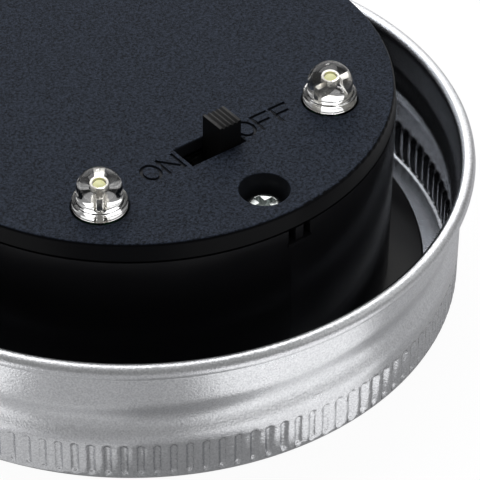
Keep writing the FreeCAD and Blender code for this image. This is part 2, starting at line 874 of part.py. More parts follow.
nodes = {
    "screw_band": [screw_band()],
    "housing": [housing()],
    "cover": [cover()],
    "switch_knob": [switch_knob()],
    "switch_contact": [switch_contact()],
    "switch_case": [switch_case()],
    "switch_base": [switch_base()],
    "switch_terminals": terminal_solids(),
    "circuit_board": [circuit_board()],
    "driver_chip": [driver_chip()],
    "driver_chip_leads": chip_lead_solids(),
    "inductor": [coil_body()],
    "inductor_leads": coil_lead_solids(),
    "cell_can": [cell_can()],
    "cell_sleeve": [cell_shrink_sleeve()],
    "plus_contact": [contact_plate(1)],
    "minus_contact": [minus_contact()],
    "solar_window": [centred_block(0, 0, panel_side, panel_side, panel_bottom, panel_bottom + panel_window)],
    "solar_cells": panel_strips(),
    "solar_board": [centred_block(0, 0, panel_side, panel_side, panel_top - panel_board, panel_top)],
    "cover_screws": [cover_screw(side) for side in both_sides],
    "board_screws": [board_screw(side) for side in both_sides],
    "panel_wire_red": [panel_wire(1)],
    "panel_wire_black": [panel_wire(-1)],
    "cell_wire_red": [cell_wire(1)],
    "cell_wire_black": [cell_wire(-1)],
}
for name, x, turn in lamp_places:
    nodes[name + "_lamp_lens"] = [lamp_lens(x, turn)]
    nodes[name + "_lamp_leads"] = lamp_lead_solids(x, turn)
    nodes[name + "_lamp_phosphor"] = [lamp_phosphor(x)]

for name, solids in nodes.items():
    shape = solids[0] if len(solids) == 1 else Part.makeCompound(solids)
    shape.exportStep("parts/" + name + ".step")
    print(name, len(shape.Solids), "solids", round(shape.Volume, 2), "mm3", shape.isValid())
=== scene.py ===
# %% [markdown]
# # A solar lid light for a mason jar, lying lamps up
#
# This lesson dresses a finished CAD part: the screw lid of a jar lantern, with a black plastic
# light in it. The CAD nodes are the frame. Some of them only need a finish. Others are modelled
# again here, because a rolled tin band or a moulded edge needs softer forms than a solid gives.

# %% Load the frame
import json
import math

import bmesh
import bpy
from mathutils import Matrix, Vector


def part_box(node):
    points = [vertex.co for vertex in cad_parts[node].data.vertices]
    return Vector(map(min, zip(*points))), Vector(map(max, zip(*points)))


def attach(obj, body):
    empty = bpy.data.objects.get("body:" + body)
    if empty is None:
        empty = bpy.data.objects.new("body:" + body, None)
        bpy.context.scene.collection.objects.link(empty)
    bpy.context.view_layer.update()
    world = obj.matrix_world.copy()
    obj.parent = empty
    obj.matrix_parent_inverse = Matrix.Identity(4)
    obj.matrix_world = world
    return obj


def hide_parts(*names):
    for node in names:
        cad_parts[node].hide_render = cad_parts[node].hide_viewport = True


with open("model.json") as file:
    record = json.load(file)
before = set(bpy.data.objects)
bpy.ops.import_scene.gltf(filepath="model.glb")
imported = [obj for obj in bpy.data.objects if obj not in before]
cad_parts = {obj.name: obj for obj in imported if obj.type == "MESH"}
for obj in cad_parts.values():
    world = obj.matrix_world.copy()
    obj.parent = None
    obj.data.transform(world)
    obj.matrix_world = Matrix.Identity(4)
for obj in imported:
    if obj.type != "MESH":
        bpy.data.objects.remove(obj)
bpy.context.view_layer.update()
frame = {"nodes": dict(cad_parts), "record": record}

mm = 0.001
nodes = frame["nodes"]
record = frame["record"]

# %% [markdown]
# ## Camera
#
# The lid was seen from close by with a long lens, looking down by about forty degrees. The camera
# could be aimed at a target with a constraint. Plain turns are used here instead, because then each
# number is one thing that a photographer sets: where to stand, how high, and where to point.

# %% Camera
camera_heading = math.radians(-35.19)
camera_reach = 241.2 * mm
camera_height = 202.9 * mm
camera_pan = math.radians(-2.722)
camera_tilt = math.radians(39.70)
camera_roll = math.radians(0.48)
camera_lens = 210.0
film_width = 36.0
nearest_sight = 10 * mm
farthest_sight = 10.0

camera_data = bpy.data.cameras.new("camera")
camera_data.lens = camera_lens
camera_data.sensor_width = film_width
camera_data.clip_start = nearest_sight
camera_data.clip_end = farthest_sight
camera = bpy.data.objects.new("camera", camera_data)
bpy.context.scene.collection.objects.link(camera)
bpy.context.scene.camera = camera
to_camera_side = Matrix.Rotation(camera_heading, 4, "Z")
camera.matrix_world = (
    to_camera_side
    @ Matrix.Translation((0, -camera_reach, camera_height))
    @ Matrix.Rotation(camera_pan, 4, "Z")
    @ Matrix.Rotation(math.pi / 2 - camera_tilt, 4, "X")
    @ Matrix.Rotation(camera_roll, 4, "Z")
)
print("camera stands at", [round(c / mm, 1) for c in camera.matrix_world.translation], "mm")

# %% [markdown]
# ## Small tools for materials
#
# Colours are written as sRGB hex values, the way a colour picker shows them, and one function turns
# them into the linear values that shaders work in. Another function adds one node with its settings
# and links, so that each finish below reads as a short recipe.

# %% Material tools
def linear(hex_colour):
    """Linear RGBA of an sRGB hex colour such as '#c8c8ca'."""
    channels = []
    for start in (1, 3, 5):
        value = int(hex_colour[start:start + 2], 16) / 255
        channels.append(value / 12.92 if value <= 0.04045 else ((value + 0.055) / 1.055) ** 2.4)
    return (*channels, 1.0)


def add_node(tree, kind, inputs=(), **settings):
    """Add one node: settings are its properties, inputs pair a socket with a value or a link."""
    node = tree.nodes.new(kind)
    for name, value in settings.items():
        setattr(node, name, value)
    for socket, value in inputs:
        if isinstance(value, bpy.types.NodeSocket):
            tree.links.new(value, node.inputs[socket])
        else:
            node.inputs[socket].default_value = value
    return node


def new_finish(name, **sockets):
    """Material with these values on its shader, then its node tree, shader and Object coordinates."""
    material = bpy.data.materials.new(name)
    material.use_nodes = True
    tree = material.node_tree
    shader = tree.nodes["Principled BSDF"]
    for socket, value in sockets.items():
        plain = linear(value) if isinstance(value, str) else value
        shader.inputs[socket.replace("_", " ")].default_value = plain
    place = add_node(tree, "ShaderNodeTexCoord").outputs["Object"]
    return material, tree, shader, place


def grain_scale(size_mm):
    """Scale of a texture on metre coordinates whose features are about that many millimetres wide."""
    return 1 / (size_mm * mm)


print("material tools ready")

# %% [markdown]
# ## Stage
#
# The lid lies on a white paper sweep. The floor is a pale matt sheet that the lamps light like anything
# else, but what the camera sees of it is mostly plain white, so that the background burns out as in a
# product picture while a little of the shadow stays. The white could also be laid in after rendering.
# Here the shaders do it, and Light Path tells them which kind of ray asks. Rays off metal get a small
# share of the white, because with all of it the front of the band would be nearly as white as the paper.
# Rays through glass see the paper as the camera does, but get a small share of the white room, because
# with all of that the clear domes would look milky.

# %% Share of white
mirrored_share = 0.15


def white_share(tree, seen, through, mirrored):
    """Socket with the share of plain white for rays from the camera, through glass and off a mirror."""
    rays = add_node(tree, "ShaderNodeLightPath").outputs
    parts = {"Is Camera Ray": seen, "Is Transmission Ray": through, "Is Glossy Ray": mirrored}
    share = 0.0
    for ray, part in parts.items():
        own = add_node(tree, "ShaderNodeMath", [(0, rays[ray]), (1, part)], operation="MULTIPLY")
        most = add_node(tree, "ShaderNodeMath", [(0, own.outputs[0]), (1, share)], operation="MAXIMUM")
        share = most.outputs[0]
    return share


print("metal mirrors", mirrored_share, "of the white")

# %% Floor
floor_side = 3.0
floor_drop = 0.02 * mm
floor_shadow_share = 0.12
paper_white = 1.08

paper_sheet = bmesh.new()
bmesh.ops.create_grid(paper_sheet, x_segments=1, y_segments=1, size=floor_side / 2)
bmesh.ops.translate(paper_sheet, verts=paper_sheet.verts, vec=(0, 0, -floor_drop))
floor_mesh = bpy.data.meshes.new("floor")
paper_sheet.to_mesh(floor_mesh)
paper_sheet.free()
floor = bpy.data.objects.new("floor", floor_mesh)
bpy.context.scene.collection.objects.link(floor)

paper = bpy.data.materials.new("white paper sweep")
paper.use_nodes = True
tree = paper.node_tree
tree.nodes.remove(tree.nodes["Principled BSDF"])
lit = add_node(tree, "ShaderNodeBsdfDiffuse", [("Color", linear("#d6d6d8"))])
white = add_node(tree, "ShaderNodeEmission", [("Color", (1, 1, 1, 1)), ("Strength", paper_white)])
share = white_share(tree, 1 - floor_shadow_share, 1 - floor_shadow_share, mirrored_share)
mixed = add_node(tree, "ShaderNodeMixShader", [(0, share), (1, lit.outputs[0]), (2, white.outputs[0])])
tree.links.new(mixed.outputs[0], tree.nodes["Material Output"].inputs["Surface"])
floor_mesh.materials.append(paper)
print("floor", floor_side, "m wide")

# %% Room
room_light = 0.14

world = bpy.data.worlds.new("studio")
bpy.context.scene.world = world
world.use_nodes = True
tree = world.node_tree
share = white_share(tree, 1.0, mirrored_share, mirrored_share)
glow = add_node(tree, "ShaderNodeMapRange", [("Value", share), ("To Min", room_light), ("To Max", 1.0)])
tree.nodes["Background"].inputs["Color"].default_value = (1, 1, 1, 1)
tree.links.new(glow.outputs["Result"], tree.nodes["Background"].inputs["Strength"])
bpy.context.scene.view_settings.view_transform = "Standard"
print("room light", room_light)

# %% [markdown]
# ## Studio lamps
#
# Polished metal shows its surroundings, so the lamps are mostly things for the band to mirror. Wide
# softboxes stand overhead, behind and to the right, and a small lamp behind makes the glints in the clear
# domes. A picture of a studio wrapped round the scene would do it too, but area lamps can be moved one at
# a time. Their places are given as seen from the camera.

# %% Softboxes
lid_middle = Vector((0, 0, 10 * mm))


def area_lamp(name, shape, width, height, power, place):
    """Area lamp with its sizes in metres, its power in watts and its place as seen from the camera."""
    data = bpy.data.lights.new(name, "AREA")
    data.shape = shape
    data.size = width
    data.size_y = height
    data.energy = power
    lamp = bpy.data.objects.new(name, data)
    bpy.context.scene.collection.objects.link(lamp)
    lamp.matrix_world = to_camera_side @ place


def softbox(name, spot, width, height, power):
    """Rectangular lamp that stands at a spot and is aimed at the lid."""
    facing = (lid_middle - Vector(spot)).to_track_quat("-Z", "Y").to_matrix().to_4x4()
    area_lamp(name, "RECTANGLE", width, height, power, Matrix.Translation(spot) @ facing)


softbox("overhead box", (0.0, -0.20, 1.00), 1.30, 1.00, 0.4)
softbox("top back box", (-0.12, 0.43, 0.86), 1.30, 0.60, 5.3)
softbox("back box", (-0.07, 0.80, 0.36), 1.50, 0.62, 2.4)
softbox("back lamp", (-0.06, 0.68, 0.42), 0.12, 0.10, 0.4)
softbox("right box", (0.85, -0.10, 0.66), 1.10, 0.55, 0.9)
print("softboxes:", [lamp.name for lamp in bpy.data.lights])

# %% [markdown]
# ## Panels on the paper
#
# Seen from above, the upright wall of the band mirrors the paper beside it. Flat panels lie there to the
# left and right of the lid, and the gap between them is the wall's grey front. A small weak panel in that
# gap lights some of the flutes from one side. White cards could lie there too, but a lamp's brightness can
# be set by itself.

# %% Panels on the paper
face_up = Matrix.Rotation(math.pi, 4, "X")


def light_panel(name, heading, near, far, width, power):
    """Oval panel that shines up, at a heading in degrees and from near to far from the lid's middle."""
    turn = Matrix.Rotation(math.radians(heading), 4, "Z")
    middle = Matrix.Translation(((near + far) / 2, 0, -floor_drop / 2))
    area_lamp(name, "ELLIPSE", far - near, width, power, turn @ middle @ face_up)


light_panel("right panel", -55, 0.0365, 0.160, 0.066, 0.0150)
light_panel("left panel", -138, 0.0365, 0.160, 0.064, 0.0158)
light_panel("front panel", -112, 0.0355, 0.0430, 0.030, 0.00016)
print("lamps in all:", len(bpy.data.lights))

# %% [markdown]
# ## Tinplate
#
# The screw band is tinned sheet steel under a clear lacquer, rolled to shape. The sheet was rolled
# long before it became a lid, so it has a soft satin shine, not a mirror, and a slow change of roughness
# keeps wide areas from looking painted. The roll that presses the flutes burnishes the metal there. The
# inside is smoother. Each zone could be a material of its own, but then hard lines would part them, so one
# material mixes them by place. A point is outside where its normal points away from the lid's middle.

# %% Tinplate shine
noise_low = 0.3
noise_high = 0.7
tin_cloud = 6.0
satin_roughness = (0.27, 0.33)
burnished_roughness = 0.13
burnished_end = (4.6 * mm, 5.6 * mm)
inside_roughness = 0.2

tinplate, tree, shader, place = new_finish(
    "lacquered tinplate", Metallic=1.0, Anisotropic=0.6, Anisotropic_Rotation=0.25)
cloud = add_node(tree, "ShaderNodeTexNoise", [
    ("Vector", place), ("Scale", grain_scale(tin_cloud)), ("Detail", 3.0)])
satin = add_node(tree, "ShaderNodeMapRange", [
    ("Value", cloud.outputs["Fac"]), ("From Min", noise_low), ("From Max", noise_high),
    ("To Min", satin_roughness[0]), ("To Max", satin_roughness[1])])
level = add_node(tree, "ShaderNodeSeparateXYZ", [("Vector", place)])
above = add_node(tree, "ShaderNodeMapRange", [
    ("Value", level.outputs["Z"]), ("From Min", burnished_end[0]), ("From Max", burnished_end[1])])
worked = add_node(tree, "ShaderNodeMix", [
    ("Factor", above.outputs["Result"]), ("A", burnished_roughness), ("B", satin.outputs["Result"])])
outward = add_node(tree, "ShaderNodeVectorMath", [
    (0, place.node.outputs["Normal"]), (1, place)], operation="DOT_PRODUCT")
outside = add_node(tree, "ShaderNodeMath", [
    (0, outward.outputs["Value"]), (1, 0.0)], operation="GREATER_THAN")
shine = add_node(tree, "ShaderNodeMix", [
    ("Factor", outside.outputs[0]), ("A", inside_roughness), ("B", worked.outputs["Result"])])
tree.links.new(shine.outputs["Result"], shader.inputs["Roughness"])
print(tinplate.name, "has a roughness of", satin_roughness, "outside")

# %% [markdown]
# ## Grain of the tinplate
#
# Very fine grain breaks the highlights up, as a bump and as lighter and darker specks. The rolling also
# draws highlights out, and a tangent that runs around the band tells the shader in which direction. The
# inside is painted greyer, as painted shade where it faces the dark cup. Real grain is finer than this,
# which is drawn so coarse to show.

# %% Tinplate grain and colour
tin_grain = 0.2
tin_grain_depth = 0.04 * mm

grain = add_node(tree, "ShaderNodeTexNoise", [
    ("Vector", place), ("Scale", grain_scale(tin_grain)), ("Detail", 2.0)])
bump = add_node(tree, "ShaderNodeBump", [
    ("Height", grain.outputs["Fac"]), ("Strength", 1.0), ("Distance", tin_grain_depth)])
tree.links.new(bump.outputs["Normal"], shader.inputs["Normal"])
speck = add_node(tree, "ShaderNodeMapRange", [
    ("Value", grain.outputs["Fac"]), ("From Min", noise_low), ("From Max", noise_high)])
sheen = add_node(tree, "ShaderNodeMix", [
    ("Factor", speck.outputs["Result"]), ("A", linear("#c6c7ca")), ("B", linear("#e5e6e8"))],
    data_type="RGBA")
# Painted shade: the inside of the band is made greyer where it faces the dark cup.
coat = add_node(tree, "ShaderNodeMix", [
    ("Factor", outside.outputs[0]), ("A", linear("#b4b7bd")), ("B", sheen.outputs["Result"])],
    data_type="RGBA")
tree.links.new(coat.outputs["Result"], shader.inputs["Base Color"])
around = add_node(tree, "ShaderNodeVectorMath", [
    (0, (0.0, 0.0, 1.0)), (1, place)], operation="CROSS_PRODUCT")
rolled = add_node(tree, "ShaderNodeVectorTransform", [("Vector", around.outputs["Vector"])],
                  vector_type="VECTOR", convert_from="OBJECT", convert_to="WORLD")
tree.links.new(rolled.outputs["Vector"], shader.inputs["Tangent"])
print(tinplate.name, "has a grain of", tin_grain, "mm")

# %% [markdown]
# ## Cover plastic
#
# The cover is moulded from black ABS. Its mould was spark eroded, so its top has a fine matte grain, while
# its sides are smoother. Two noises of different size are added, because one alone looks even and printed.
# Real spark erosion is finer than this, which is drawn so coarse to show.

# %% Cover grain
spark_grain = 0.32
spark_fine = 0.14
spark_depth = 0.05 * mm
cover_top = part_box("cover")[1].z
top_skin = (cover_top - 0.1 * mm, cover_top - 0.03 * mm)
side_roughness = 0.35
top_roughness = 0.62

matte_abs, tree, shader, place = new_finish("spark-eroded ABS", IOR=1.53, Specular_IOR_Level=0.06)
coarse = add_node(tree, "ShaderNodeTexNoise", [
    ("Vector", place), ("Scale", grain_scale(spark_grain)), ("Detail", 2.0)])
fine = add_node(tree, "ShaderNodeTexNoise", [
    ("Vector", place), ("Scale", grain_scale(spark_fine)), ("Detail", 1.0)])
both = add_node(tree, "ShaderNodeMath", [
    (0, coarse.outputs["Fac"]), (1, fine.outputs["Fac"])], operation="ADD")
level = add_node(tree, "ShaderNodeSeparateXYZ", [("Vector", place)])
on_top = add_node(tree, "ShaderNodeMapRange", [
    ("Value", level.outputs["Z"]), ("From Min", top_skin[0]), ("From Max", top_skin[1])])
relief = add_node(tree, "ShaderNodeMath", [
    (0, both.outputs[0]), (1, on_top.outputs["Result"])], operation="MULTIPLY")
bump = add_node(tree, "ShaderNodeBump", [
    ("Height", relief.outputs[0]), ("Strength", 0.6), ("Distance", spark_depth)])
tree.links.new(bump.outputs["Normal"], shader.inputs["Normal"])
dull = add_node(tree, "ShaderNodeMapRange", [
    ("Value", on_top.outputs["Result"]), ("To Min", side_roughness), ("To Max", top_roughness)])
tree.links.new(dull.outputs["Result"], shader.inputs["Roughness"])
print(matte_abs.name, "has grains of", spark_grain, "and", spark_fine, "mm")

# %% [markdown]
# ## Tones and painted light of the cover
#
# The top is painted slate grey, as painted light for the light that its matte grain scatters, with the
# same specks as in the bump. The sides stay black. The walls of the holes are painted a little lighter,
# as painted light for the light that strays into them.
# Faces could be given different materials, but the place of a point is enough to tell: top from side by
# its height, and a hole from the outer side by how far it is from the cover's middle.

# %% Cover tones
hole_reach = 26.0 * mm
speckle_range = (0.75, 1.25)

speckle = add_node(tree, "ShaderNodeMapRange", [
    ("Value", both.outputs[0]), ("From Min", speckle_range[0]), ("From Max", speckle_range[1])])
# Painted light: the top is slate grey for the light that its matte grain scatters.
slate = add_node(tree, "ShaderNodeMix", [
    ("Factor", speckle.outputs["Result"]), ("A", linear("#0c0f14")), ("B", linear("#3a4251"))],
    data_type="RGBA")
flat = add_node(tree, "ShaderNodeVectorMath", [(0, place), (1, (1.0, 1.0, 0.0))], operation="MULTIPLY")
reach = add_node(tree, "ShaderNodeVectorMath", [(0, flat.outputs["Vector"])], operation="LENGTH")
# Painted light: the walls of the holes are lighter for the light that strays into them.
hole_wall_painted_light_mask = add_node(tree, "ShaderNodeMath", [
    (0, reach.outputs["Value"]), (1, hole_reach)], operation="LESS_THAN")
side = add_node(tree, "ShaderNodeMix", [
    ("Factor", hole_wall_painted_light_mask.outputs[0]), ("A", linear("#0a0b0e")), ("B", linear("#2c2e33"))],
    data_type="RGBA")
skin = add_node(tree, "ShaderNodeMix", [
    ("Factor", on_top.outputs["Result"]), ("A", side.outputs["Result"]), ("B", slate.outputs["Result"])],
    data_type="RGBA")
tree.links.new(skin.outputs["Result"], shader.inputs["Base Color"])
print(matte_abs.name, "is slate grey on top")

# %% [markdown]
# ## Cup and knob plastics
#
# The cup's mould was polished, so the cup is glossy, with only the slight waviness of a thin moulded wall,
# which makes its reflections swim. The switch knob is acetal, a plain, slightly dull black with a fine
# grain that is drawn coarser than the real one. One black could serve for both, but black plastics are
# told apart by their shine, so each has its own.

# %% Cup and knob finishes
wave_size = 5.0
wave_depth = 0.03 * mm
cup_roughness = (0.14, 0.28)
knob_grain = 0.2
knob_grain_depth = 0.01 * mm

gloss_abs, tree, shader, place = new_finish(
    "polished ABS", Base_Color="#19191b", IOR=1.53, Specular_IOR_Level=0.13)
wave = add_node(tree, "ShaderNodeTexNoise", [
    ("Vector", place), ("Scale", grain_scale(wave_size)), ("Detail", 1.0)])
bump = add_node(tree, "ShaderNodeBump", [
    ("Height", wave.outputs["Fac"]), ("Strength", 0.4), ("Distance", wave_depth)])
tree.links.new(bump.outputs["Normal"], shader.inputs["Normal"])
smear = add_node(tree, "ShaderNodeMapRange", [
    ("Value", wave.outputs["Fac"]), ("To Min", cup_roughness[0]), ("To Max", cup_roughness[1])])
tree.links.new(smear.outputs["Result"], shader.inputs["Roughness"])

knob_plastic, tree, shader, place = new_finish(
    "dull black acetal", Base_Color="#080809", Roughness=0.5, IOR=1.48, Specular_IOR_Level=0.3)
grain = add_node(tree, "ShaderNodeTexNoise", [
    ("Vector", place), ("Scale", grain_scale(knob_grain)), ("Detail", 1.0)])
bump = add_node(tree, "ShaderNodeBump", [
    ("Height", grain.outputs["Fac"]), ("Strength", 0.4), ("Distance", knob_grain_depth)])
tree.links.new(bump.outputs["Normal"], shader.inputs["Normal"])
print(gloss_abs.name, "/", knob_plastic.name)

# %% [markdown]
# ## Clear resins
#
# The lamp lenses are cast in clear epoxy, and the solar panel lies under a poured clear window. A plain
# see-through shader would be faster, but here both are refracting solids, so that the metal inside the
# lamps is seen enlarged, as in a real lamp. The epoxy has a trace of haze, and the poured window is not
# quite flat.

# %% Clear finishes
haze_size = 1.5
haze_roughness = 0.06
ripple_size = 8.0
ripple_depth = 0.05 * mm

clear_epoxy, tree, shader, place = new_finish(
    "cast epoxy", Base_Color="#ffffff", IOR=1.54, Transmission_Weight=1.0)
haze = add_node(tree, "ShaderNodeTexNoise", [
    ("Vector", place), ("Scale", grain_scale(haze_size)), ("Detail", 1.0)])
blur = add_node(tree, "ShaderNodeMapRange", [
    ("Value", haze.outputs["Fac"]), ("To Min", 0.0), ("To Max", haze_roughness)])
tree.links.new(blur.outputs["Result"], shader.inputs["Roughness"])

clear_window, tree, shader, place = new_finish(
    "poured window resin", Base_Color="#ffffff", Roughness=0.05, IOR=1.5, Transmission_Weight=1.0)
ripple = add_node(tree, "ShaderNodeTexNoise", [
    ("Vector", place), ("Scale", grain_scale(ripple_size)), ("Detail", 1.0)])
bump = add_node(tree, "ShaderNodeBump", [
    ("Height", ripple.outputs["Fac"]), ("Strength", 0.3), ("Distance", ripple_depth)])
tree.links.new(bump.outputs["Normal"], shader.inputs["Normal"])
print(clear_epoxy.name, "/", clear_window.name)

# %% [markdown]
# ## Metals and small parts inside
#
# Most of these are hidden when the light is whole, but they are part of the model, so each gets the
# finish that it has on the bench. One helper takes two tones, a grain size and a roughness range, and
# makes a mottled surface from them. The table then names a finish for every material slot of the part.

# %% Mottled finish
def mottled(name, dark, light, grain_mm, smooth, rough, bump_mm=0.0, **sockets):
    """Finish whose colour runs between two tones and whose roughness varies with the same grain."""
    material, tree, shader, place = new_finish(name, **sockets)
    noise = add_node(tree, "ShaderNodeTexNoise", [
        ("Vector", place), ("Scale", grain_scale(grain_mm)), ("Detail", 3.0)])
    tone = add_node(tree, "ShaderNodeMix", [
        ("Factor", noise.outputs["Fac"]), ("A", linear(dark)), ("B", linear(light))], data_type="RGBA")
    tree.links.new(tone.outputs["Result"], shader.inputs["Base Color"])
    spread = add_node(tree, "ShaderNodeMapRange", [
        ("Value", noise.outputs["Fac"]), ("To Min", smooth), ("To Max", rough)])
    tree.links.new(spread.outputs["Result"], shader.inputs["Roughness"])
    if bump_mm:
        bump = add_node(tree, "ShaderNodeBump", [
            ("Height", noise.outputs["Fac"]), ("Strength", 1.0), ("Distance", bump_mm * mm)])
        tree.links.new(bump.outputs["Normal"], shader.inputs["Normal"])
    return material


print("mottled finish ready")

# %% Finishes by material slot
finishes = {
    "tinplate": tinplate,
    "matte_black_plastic": matte_abs,
    "gloss_black_plastic": gloss_abs,
    "knob_plastic": knob_plastic,
    "clear_epoxy": clear_epoxy,
    "clear_window": clear_window,
    # Cold and bright, and slightly cloudy from the plating bath.
    "zinc_steel": mottled("zinc-plated steel", "#c3c8c6", "#e6e9e8", 0.4, 0.15, 0.3, 0.005, Metallic=1.0),
    # Pale gold strip with a soft shine.
    "contact_brass": mottled("nickel brass strip", "#b89a5a", "#d8bd7c", 1.0, 0.2, 0.35, Metallic=1.0),
    # Brown and dull, with the fibres of the pressed paper.
    "phenolic": mottled("phenolic paper laminate", "#5f3a1f", "#7d5230", 0.6, 0.45, 0.6, 0.01),
    # Green lacquer that shows a little of the weave under it.
    "circuit_board": mottled("glass epoxy board", "#135a33", "#1c7443", 0.5, 0.3, 0.42, 0.01, IOR=1.5),
    # Dark grey with a fine dull grit.
    "chip_plastic": mottled("moulding compound", "#17181a", "#222327", 0.15, 0.5, 0.65, 0.01),
    # Warm silver that was dipped, so it is a little uneven.
    "tinned_lead": mottled("tinned copper wire", "#c9c6bd", "#e9e7e2", 0.5, 0.18, 0.32, Metallic=1.0),
    # Blue-green dip with a waxy shine.
    "inductor_coat": mottled("dipped inductor coat", "#2f7d74", "#3d968b", 0.8, 0.3, 0.45, 0.01),
    # Greyer than the leads, and smooth from deep drawing.
    "cell_steel": mottled("nickel-plated can", "#b9b7b1", "#d6d4cf", 0.8, 0.2, 0.32, Metallic=1.0),
    # Smooth blue film, shrunk tight.
    "cell_sleeve": mottled("shrink sleeve", "#1f6fae", "#2a80c4", 2.0, 0.25, 0.35, 0.005),
    # Nearly black with a purple tinge, and glassy.
    "silicon": mottled("amorphous silicon", "#1a1320", "#2a2036", 4.0, 0.12, 0.2),
    # Soft extruded plastic with a wide, weak highlight.
    "wire_red": mottled("red PVC wire", "#a3161a", "#bf2226", 0.7, 0.35, 0.45),
    "wire_black": mottled("black PVC wire", "#111112", "#1b1b1d", 0.7, 0.35, 0.45),
    # Pale yellow drop. A faint glow keeps it pale inside the dome, where little light reaches it.
    "phosphor": mottled("yellow phosphor gel", "#f2f0a8", "#fffde0", 0.3, 0.4, 0.5, 0.01,
                        Emission_Color="#eef0a6", Emission_Strength=0.3),
}
for row in record["subparts"]:
    nodes[row["node"]].material_slots[0].material = finishes[row["material_slot"]]
print("finishes:", len(finishes), "on", len(nodes), "CAD nodes")

# %% [markdown]
# ## Tools for pieces
#
# Every new piece below is one mesh that stands for a CAD node. It takes the node's place, rides on the
# same body and wears the same finish, so one function does that for all of them.

# %% Piece tool
def add_piece(name, form, node, sharp_angle=40.0):
    """Turn a bmesh into a piece that replaces a CAD node on its body and in its material slot."""
    row = next(row for row in record["subparts"] if row["node"] == node)
    body = next(body for body, members in record["behaviour"]["bodies"].items() if node in members)
    mesh = bpy.data.meshes.new(name)
    form.to_mesh(mesh)
    form.free()
    mesh.shade_smooth()
    mesh.set_sharp_from_angle(angle=math.radians(sharp_angle))
    mesh.materials.append(finishes[row["material_slot"]])
    piece = bpy.data.objects.new(name, mesh)
    bpy.context.scene.collection.objects.link(piece)
    even = piece.modifiers.new("even normals", "WEIGHTED_NORMAL")
    even.keep_sharp = True
    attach(piece, body)
    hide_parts(node)
    triangles = sum(len(polygon.vertices) - 2 for polygon in mesh.polygons)
    print(name, "replaces", node, "on", body, "with", triangles, "triangles")


print("piece tool ready")

# %% [markdown]
# ## Drawing and spinning outlines
#
# Outlines of round pieces are drawn in the plane of radius and height, with a pen that extrudes a point
# along a line or spins it along an arc. The outline is then spun once round. One long spin of many steps
# is slow, so a twelfth is spun first and then copied round, and the seams are merged.

# %% Outline tools
weld = 0.001 * mm
spin_sectors = 12


def start_outline(radius, height):
    """A bmesh with one point, in millimetres of radius and height, and that point as the pen's tip."""
    outline = bmesh.new()
    tip = outline.verts.new((radius * mm, 0, height * mm))
    return outline, tip


def draw_line(outline, tip, radius, height, steps=1):
    """Draw a straight stretch from the tip to a radius and height, in equal steps."""
    stride = (Vector((radius * mm, 0, height * mm)) - tip.co) / steps
    for step in range(steps):
        tip = bmesh.ops.extrude_vert_indiv(outline, verts=[tip])["verts"][0]
        bmesh.ops.translate(outline, verts=[tip], vec=stride)
    return tip


def draw_arc(outline, tip, centre, turn, steps):
    """Draw an arc from the tip about a centre, by degrees that are positive from radius to height."""
    made = bmesh.ops.spin(outline, geom=[tip], cent=(centre[0] * mm, 0, centre[1] * mm),
                          axis=(0, -1, 0), angle=math.radians(turn), steps=steps)
    return next(item for item in made["geom_last"] if isinstance(item, bmesh.types.BMVert))


def spin_outline(outline, steps, x=0.0, y=0.0):
    """Spin a drawn outline once round an upright axis at x and y, and turn its faces outwards."""
    sector = 2 * math.pi / spin_sectors
    bmesh.ops.spin(outline, geom=outline.verts[:] + outline.edges[:], cent=(0, 0, 0), axis=(0, 0, 1),
                   angle=sector, steps=steps // spin_sectors)
    whole = outline.verts[:] + outline.edges[:] + outline.faces[:]
    bmesh.ops.spin(outline, geom=whole, cent=(0, 0, 0), axis=(0, 0, 1),
                   angle=2 * math.pi - sector, steps=spin_sectors - 1, use_duplicate=True)
    bmesh.ops.remove_doubles(outline, verts=outline.verts, dist=weld)
    bmesh.ops.translate(outline, verts=outline.verts, vec=(x, y, 0))
    bmesh.ops.recalc_face_normals(outline, faces=outline.faces)


print("outline tools ready")

# %% [markdown]
# ## Screw band
#
# The band is thin sheet that is drawn into a shallow cup with a hole in its floor. Its rim is rolled
# outwards into a curl. A flat strip could be bent round with a modifier, but a spun outline stays round.
# The outline goes round both faces of the sheet, and its wall gets rows of points where rolls will press
# it later: few along the straight flutes, and many along the thread.

# %% Outline of the band
sheet = 0.45
curl_radius = 0.85
curl_end = -100.0
corner_radius = 1.2
lip_width = 5.85
cut_edge = 0.12
flute_low = 0.85
flute_high = 5.15
flute_straight = (1.5, 4.5)
flute_margin = 0.15
rim_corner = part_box("screw_band")[1] / mm
band_inner = rim_corner.x - 2 * curl_radius
band_wall = band_inner + sheet
lip_opening = band_wall - lip_width
curl = (band_inner + curl_radius, rim_corner.z - curl_radius)
curl_tip = math.radians(curl_end)
curl_tip_radius = curl[0] + curl_radius * math.cos(curl_tip)
curl_tip_height = curl[1] + curl_radius * math.sin(curl_tip)
corner = (band_wall - corner_radius, corner_radius)
wall_heights = (corner_radius, *flute_straight, flute_high + flute_margin, curl[1])
wall_rows = (1, 3, 4, 24)

band, pen = start_outline(lip_opening, cut_edge)
first_point = pen
pen = draw_arc(band, pen, (lip_opening + cut_edge, cut_edge), 90, steps=2)
pen = draw_line(band, pen, corner[0], 0)
pen = draw_arc(band, pen, corner, 90, steps=6)
for height, rows in zip(wall_heights[1:], wall_rows):
    pen = draw_line(band, pen, band_wall, height, steps=rows)
pen = draw_arc(band, pen, curl, curl_end - 180, steps=6)
pen = draw_line(band, pen, curl_tip_radius, curl_tip_height)
pen = draw_arc(band, pen, curl, 180 - curl_end, steps=14)
for height, rows in zip(wall_heights[-2::-1], wall_rows[::-1]):
    pen = draw_line(band, pen, band_inner, height, steps=rows)
pen = draw_arc(band, pen, corner, -90, steps=3)
pen = draw_line(band, pen, lip_opening + cut_edge, sheet)
pen = draw_arc(band, pen, (lip_opening + cut_edge, sheet - cut_edge), 90, steps=2)
band.edges.new((pen, first_point))
print("band outline:", len(band.verts), "points, wall radius", round(band_wall, 3), "mm")

